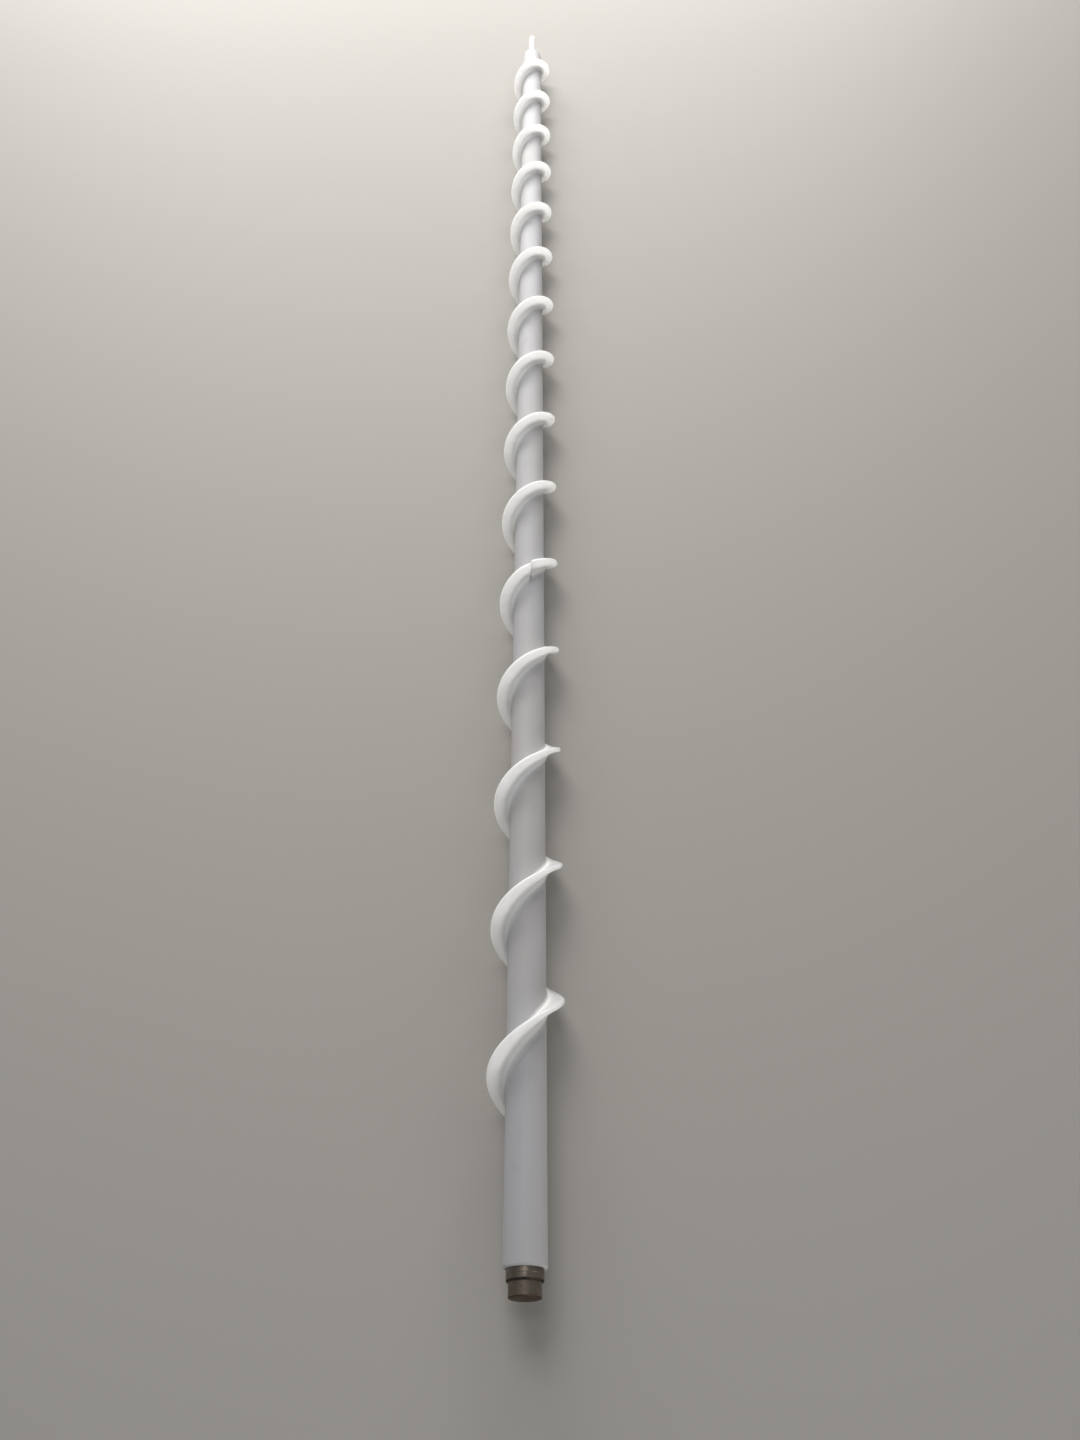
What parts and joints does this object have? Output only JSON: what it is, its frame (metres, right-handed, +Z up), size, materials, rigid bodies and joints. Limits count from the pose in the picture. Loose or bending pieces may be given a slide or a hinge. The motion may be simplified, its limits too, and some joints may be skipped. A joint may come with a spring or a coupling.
{
  "type": "conveyor screw",
  "caption": "Long conveyor screw: a right-hand white plastic flight on a plastic-sleeved steel pipe, with a steel drive spigot and a slim tail journal.",
  "frame": {"origin": "centre of the flat face of the drive spigot, on the screw's axis", "axes": "+X along the axis from the drive spigot to the tail journal, +Z up as the screw lies on its flight, +Y to the left seen from the drive end"},
  "size_m": [3.77, 0.11, 0.11],
  "materials": {
    "white_plastic": "natural white, slightly translucent, satin",
    "turned_steel": "turned bare steel, dull",
    "weld_metal": "dark unpolished weld bead"
  },
  "bodies": {
    "root": {"core_pipe": "turned_steel", "shaft_sleeve": "white_plastic", "flight_start": "white_plastic", "flight_turn_01": "white_plastic", "flight_turn_02": "white_plastic", "flight_turn_03": "white_plastic", "flight_turn_04": "white_plastic", "flight_turn_05": "white_plastic", "flight_turn_06": "white_plastic", "flight_turn_07": "white_plastic", "flight_turn_08": "white_plastic", "flight_turn_09": "white_plastic", "flight_turn_10": "white_plastic", "flight_turn_11": "white_plastic", "flight_turn_12": "white_plastic", "flight_turn_13": "white_plastic", "flight_turn_14": "white_plastic", "flight_end": "white_plastic", "drive_plug": "turned_steel", "drive_weld": "weld_metal", "tail_journal": "turned_steel", "tail_weld": "weld_metal"}
  },
  "joints": []
}
